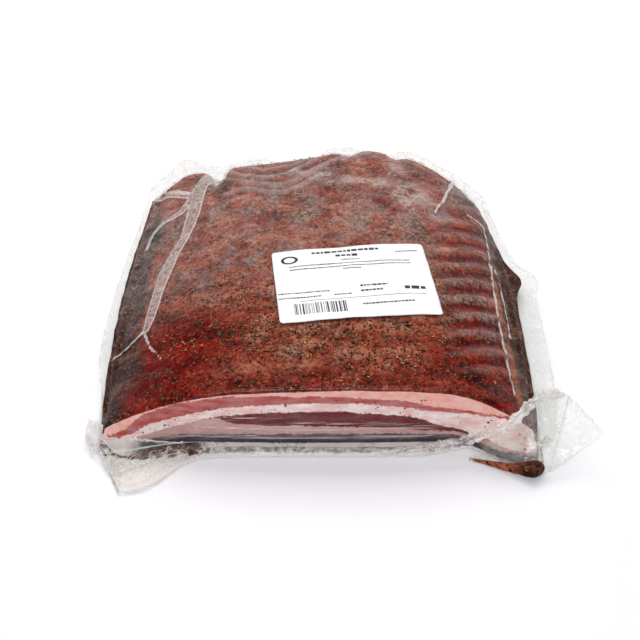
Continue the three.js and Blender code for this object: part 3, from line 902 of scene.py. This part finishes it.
def scatter(name, grain, count, seed, material, size, spread_at, stand=0.1, on_cut=0):
    """Lays copies of one grain on the crust, and some on the cut face, each with its own size and turn."""
    chance = random.Random(seed)
    shape = bmesh.new()
    placed = 0
    while placed < count:
        u, v = chance.uniform(-0.985, 0.985), chance.uniform(-0.985, 0.985)
        x, y = outline(u, v, 0)
        if chance.random() > spread_at(x, y):
            continue
        here = slab_top(x, y)
        slope_x = (slab_top(x + 1.5, y) - slab_top(x - 1.5, y)) / 3
        slope_y = (slab_top(x, y + 1.5) - slab_top(x, y - 1.5)) / 3
        up = Vector((-slope_x, -slope_y, 1)).normalized()
        here -= edge_rounding(u, v, 3)
        if placed < on_cut:
            up = Vector((0, -1, 0.05))
            x = chance.uniform(-95, 104)
            here = chance.uniform(0.5, 0.97) * (body_height(x, 0) - 3)
            low = clamp01(1 - here / body_height(x, 0))
            y = front_edge(x, low)
        turn = up.to_track_quat("Z", "Y").to_matrix().to_4x4()
        turn = turn @ Matrix.Rotation(chance.uniform(0, 6.28), 4, "Z")
        tilt = Euler((chance.uniform(-0.4, 0.4), chance.uniform(-0.4, 0.4), 0)).to_matrix().to_4x4()
        scale = chance.uniform(*size)
        wide, tall = chance.uniform(0.6, 1), chance.uniform(0.6, 0.9)
        shapely = Matrix.Diagonal((scale, scale * wide, scale * tall, 1))
        move = Matrix.Translation(Vector((x, y, here)) + up * stand * scale)
        matrix = move @ turn @ tilt @ shapely
        grain.transform(matrix)
        shape.from_mesh(grain)
        grain.transform(matrix.inverted())
        placed += 1
    bpy.data.meshes.remove(grain)
    return add_piece(name, shape, material)


def pepper_grain():
    """A cracked corn of pepper: a small uneven ball."""
    shape = bmesh.new()
    bmesh.ops.create_icosphere(shape, subdivisions=1, radius=0.5)
    for vert in shape.verts:
        vert.co *= 1 + 0.3 * noise.noise(vert.co * 3 + Vector((2, 5, 1)))
    grain = bpy.data.meshes.new("pepper grain")
    shape.to_mesh(grain)
    shape.free()
    return grain


def herb_flake():
    """A curled flake of dried leaf, pointed at both ends."""
    shape = bmesh.new()
    bmesh.ops.create_cube(shape, size=1)
    lengthways = [edge for edge in shape.edges if abs(edge.verts[0].co.x - edge.verts[1].co.x) > 0.5]
    bmesh.ops.subdivide_edges(shape, edges=lengthways, cuts=2)
    for vert in shape.verts:
        wide = 1 - 3 * vert.co.x ** 2
        vert.co.y *= max(wide, 0.2) * 0.45
        vert.co.z = vert.co.z * 0.12 + 0.25 * vert.co.x ** 2
    flake = bpy.data.meshes.new("herb flake")
    shape.to_mesh(flake)
    shape.free()
    return flake


def clusters(size, low, high, offset):
    """A share from 0 to 1 that is high in patches of that many millimetres."""
    def share(x, y):
        place = Vector((x / size, y / size, offset))
        patch = ease((noise.noise(place) + 0.5 * noise.noise(place * 2.3) - low) / (high - low))
        return (0.1 + 0.9 * patch) * (1 - 0.5 * ease((y - 80) / 60))
    return share


# Where pale flakes lie in small heaps.
HEAPS = (
    (20, 161), (15, 136), (-48, 86), (-43, 69), (-16, 26), (-3, 30), (22, 37), (17, 7), (64, 36), (44, 20),
    (-28, 46), (-70, 40), (-20, 168), (56, 60),
)


def heaps(x, y):
    """A share that is high in the heaps."""
    return 0.01 + max(bump(math.hypot(x - at_x, 1.5 * (y - at_y)), 7) for at_x, at_y in HEAPS)


LABEL_WIDTH, LABEL_DEPTH = 87, 61
LABEL_TURN = math.radians(6.5)
LABEL_CORNER = 2
LABEL_CELL = 1.5
LABEL_THICKNESS = 0.15
LABEL_LIFT, PRINT_LIFT = 0.5, 0.68


def on_label(across, down, lift):
    """A point on the label, in millimetres from its far left corner."""
    a, b = across - LABEL_WIDTH / 2, LABEL_DEPTH / 2 - down
    x = LABEL_MIDDLE[0] + a * math.cos(LABEL_TURN) - b * math.sin(LABEL_TURN)
    y = LABEL_MIDDLE[1] + a * math.sin(LABEL_TURN) + b * math.cos(LABEL_TURN)
    return x, y, body_height(x, y) + FILM_CLEARANCE + lift


def build_label(material):
    shape = bmesh.new()
    cells_across, cells_down = int(LABEL_WIDTH / LABEL_CELL), int(LABEL_DEPTH / LABEL_CELL)
    bmesh.ops.create_grid(shape, x_segments=cells_across, y_segments=cells_down, size=0.5)
    for vert in shape.verts:
        across, down = (vert.co.x + 0.5) * LABEL_WIDTH, (0.5 - vert.co.y) * LABEL_DEPTH
        corner = Vector((
            max(abs(vert.co.x) * LABEL_WIDTH - LABEL_WIDTH / 2 + LABEL_CORNER, 0),
            max(abs(vert.co.y) * LABEL_DEPTH - LABEL_DEPTH / 2 + LABEL_CORNER, 0),
        ))
        if corner.length > LABEL_CORNER:
            keep = corner * (LABEL_CORNER / corner.length)
            across += (keep.x - corner.x) * (1 if vert.co.x > 0 else -1)
            down -= (keep.y - corner.y) * (1 if vert.co.y > 0 else -1)
        vert.co = on_label(across, down, LABEL_LIFT)
    bmesh.ops.solidify(shape, geom=shape.faces[:], thickness=-LABEL_THICKNESS)
    return add_piece("paper_label", shape, material, "label")


# Print on the label, in millimetres across and down from its far left corner.
# Each row of words: from, to, middle height of the row, height of a word.
WORD_ROWS = (
    (22.6, 60.9, 3.9, 2.2), (35.7, 48.2, 8.0, 2.2), (38.4, 49.2, 11.8, 1.0), (8.8, 76.9, 15.0, 1.0),
    (9.1, 77.2, 17.6, 1.0), (38.5, 48.7, 20.0, 1.0), (70.3, 83.2, 6.7, 1.2), (46.0, 61.2, 35.4, 1.5),
    (45.9, 57.8, 39.4, 1.5), (69.8, 81.4, 39.6, 2.9), (1.0, 29.1, 37.6, 1.1), (0.8, 24.1, 41.6, 1.1),
    (31.1, 40.4, 41.0, 1.1), (45.3, 73.6, 50.2, 1.3),
)
RULE = (12.3, 81.0, 44.6, 0.35)
# The round mark: its middle, its radius, its width and how far it is flattened.
RING_ACROSS, RING_DOWN, RING_RADIUS, RING_WIDTH, RING_FLATTENED = 9.6, 8.4, 4, 1.7, 0.72
# The bars: from, to, middle height and height of the row.
BARS_START, BARS_STOP, BARS_DOWN, BARS_TALL = 8.6, 36, 51, 9


def add_mark(shape, start, stop, down, tall):
    """A flat printed mark that follows the label."""
    steps = max(1, round((stop - start) / LABEL_CELL))
    rows = max(1, round(tall / LABEL_CELL))
    before = set(shape.verts)
    bmesh.ops.create_grid(shape, x_segments=steps, y_segments=rows, size=0.5)
    for vert in shape.verts:
        if vert not in before:
            across = lerp(start, stop, vert.co.x + 0.5)
            vert.co = on_label(across, down - vert.co.y * tall, PRINT_LIFT)


def build_print(material):
    chance = random.Random(4)
    shape = bmesh.new()
    for start, stop, down, tall in WORD_ROWS:
        at = start
        while at < stop:
            word = min(chance.uniform(0.6, 1.6) * tall, stop - at)
            add_mark(shape, at, at + word, down, tall * chance.uniform(0.7, 1))
            at += word + 0.28 * tall
    add_mark(shape, *RULE)
    before = set(shape.verts)
    bmesh.ops.create_grid(shape, x_segments=40, y_segments=1, size=0.5)
    for vert in shape.verts:
        if vert not in before:
            angle, radius = vert.co.x * 2 * math.pi, RING_RADIUS + vert.co.y * RING_WIDTH
            across = RING_ACROSS + radius * math.cos(angle)
            down = RING_DOWN + RING_FLATTENED * radius * math.sin(angle)
            vert.co = on_label(across, down, PRINT_LIFT)
    at = BARS_START
    while at < BARS_STOP:
        wide = chance.choice((0.3, 0.3, 0.6, 0.9))
        add_mark(shape, at, at + wide, BARS_DOWN, BARS_TALL)
        at += wide + chance.choice((0.35, 0.6, 0.9))
    return add_piece("label_print", shape, material)


meat = meat_material()
film = film_material()
paper = paper_material()
ink = ink_material()

slab = build_slab(meat)
bag = build_film(film)
twist = build_twist(film)
wing = film_sheet("film_wing", WING_TOP, WING_FOOT, film, wing_drape)
corner = film_sheet("film_corner", CORNER_TOP, CORNER_FOOT, film, corner_drape)
rind_tip = build_rind_tip(meat)
rind_edge = build_rind_edge(meat)
label = build_label(paper)
marks = build_print(ink)

pepper = scatter(
    "cracked_pepper", pepper_grain(), 1300, 11,
    spice_material("cracked black pepper", "#24140d", "#5a4130", 1.2), (0.4, 1.35), clusters(17, 0.0, 0.6, 1),
    on_cut=70,
)
herbs = scatter(
    "herb_flakes", herb_flake(), 1900, 12,
    spice_material("dried herb leaf", "#3a2f1c", "#665530", 2.0), (0.8, 2.3), clusters(28, -0.1, 0.6, 5),
)
crumbs = scatter(
    "garlic_flakes", herb_flake(), 420, 13,
    spice_material("dried garlic flake", "#83502f", "#d2aa7a", 1.3), (0.5, 2.2), heaps,
)


def build_floor():
    shape = bmesh.new()
    bmesh.ops.create_grid(shape, x_segments=2, y_segments=2, size=3)
    mesh = bpy.data.meshes.new("floor")
    shape.to_mesh(mesh)
    shape.free()
    material, node, place = new_material("white studio floor")
    mottle = pattern(node, place, 300, 2)
    node("OutputMaterial", node("BsdfPrincipled", {
        "Base Color": node("Mix", {0: mottle, 6: colour("#f4f4f6"), 7: colour("#f7f7f8")}, **COLOUR_MIX),
        "Roughness": 0.7,
    }))
    mesh.materials.append(material)
    floor = bpy.data.objects.new("floor", mesh)
    bpy.context.collection.objects.link(floor)


def add_light(name, place, size, power, shade="#ffffff", mirrored=True):
    """A soft rectangular light that faces the pack. Its size is in metres."""
    light = bpy.data.lights.new(name, "AREA")
    light.shape = "RECTANGLE"
    light.size, light.size_y = size
    light.energy = power
    light.color = colour(shade)[:3]
    holder = bpy.data.objects.new(name, light)
    holder.location = place
    holder.visible_glossy = mirrored
    aim = Vector((0, 0, 0.02)) - holder.location
    holder.rotation_euler = aim.to_track_quat("-Z", "Y").to_euler()
    bpy.context.collection.objects.link(holder)


build_floor()
add_light("back softbox", (0, 0.85, 1.05), (1.0, 0.7), 15, "#fffaf4", mirrored=False)
add_light("overhead softbox", (0, 0, 1.5), (1.0, 0.6), 4)
add_light("front strip", (-0.1, -1.0, 1.1), (1.3, 0.3), 10)

world = bpy.data.worlds.new("studio air")
bpy.context.scene.world = world
world.use_nodes = True
air = partial(add_node, world.node_tree)
upward = air("SeparateXYZ", air("TexCoord", output="Generated")).node.outputs["Z"]
overhead = air("MapRange", upward, 0.1, 0.5, **SOFT_STEP)
sky = air("Mix", {0: overhead, 6: colour("#c4c8da"), 7: colour("#5c606c")}, **COLOUR_MIX)
world.node_tree.links.new(sky, world.node_tree.nodes["Background"].inputs["Color"])

# The camera of the photo: its place in the layout, how many degrees it looks down, and its lens.
CAMERA_PLACE, CAMERA_DOWN, CAMERA_LENS, SENSOR_WIDTH = (2.05, -312.5, 364.0), 42, 52.3, 36

camera_data = bpy.data.cameras.new("camera")
camera_data.lens = CAMERA_LENS
camera_data.sensor_width = SENSOR_WIDTH
camera = bpy.data.objects.new("camera", camera_data)
camera.location = LAYOUT_ORIGIN + Vector(CAMERA_PLACE) / 1000
camera.rotation_euler = (math.radians(90 - CAMERA_DOWN), 0, 0)
bpy.context.collection.objects.link(camera)
bpy.context.scene.camera = camera
bpy.context.scene.view_settings.view_transform = "Standard"
# Folded film has many clear layers behind one another.
bpy.context.scene.cycles.transparent_max_bounces = 24
